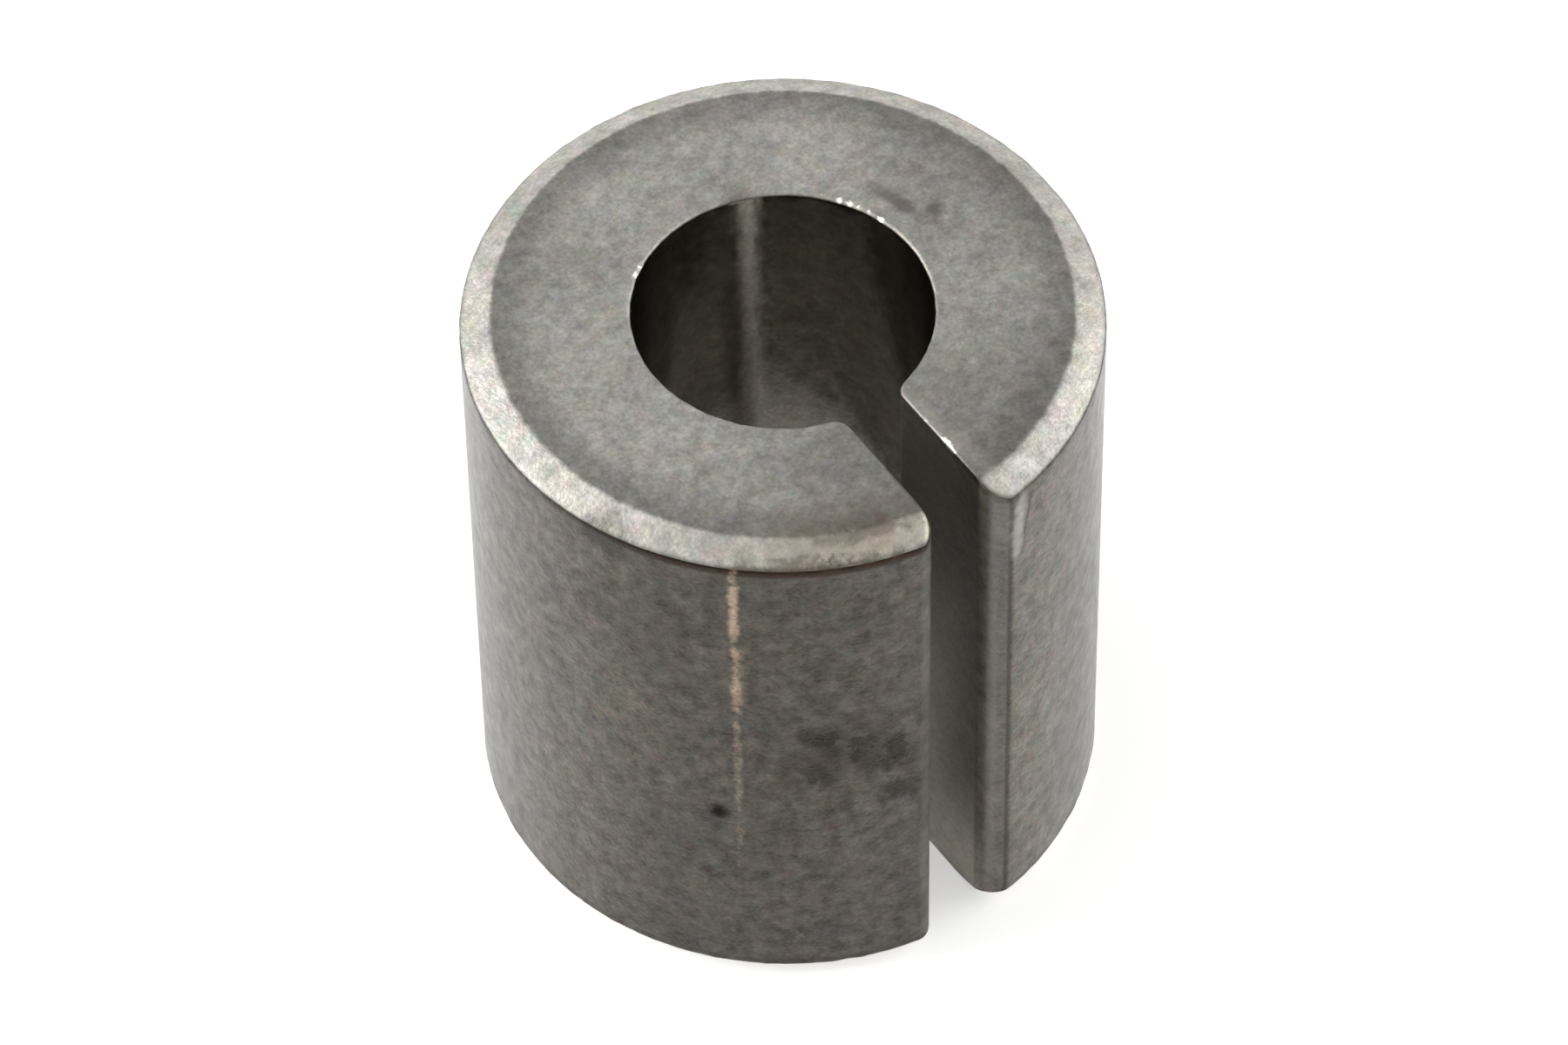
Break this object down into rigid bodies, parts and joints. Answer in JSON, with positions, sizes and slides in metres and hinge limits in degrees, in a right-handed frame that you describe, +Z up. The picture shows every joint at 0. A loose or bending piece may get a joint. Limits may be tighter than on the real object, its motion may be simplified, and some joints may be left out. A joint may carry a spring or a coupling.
{
  "type": "split bushing",
  "caption": "Thick-walled round metal bushing with a through bore, slit along its whole length, with chamfered outer ends and round corners at the slit's mouth.",
  "frame": {"origin": "on the bore's axis, at the bottom end face", "axes": "+Z up the bore from the bottom end face to the top one; the slit faces -Y; +X is to the right when looking at the slit"},
  "size_m": [0.017, 0.0169, 0.018],
  "materials": {
    "sintered_steel": "steam-treated sintered steel, dull dark grey with a fine grain; bore smooth and darker; end chamfers lighter and more granular"
  },
  "bodies": {
    "root": {"split_bushing": "sintered_steel"}
  },
  "joints": []
}
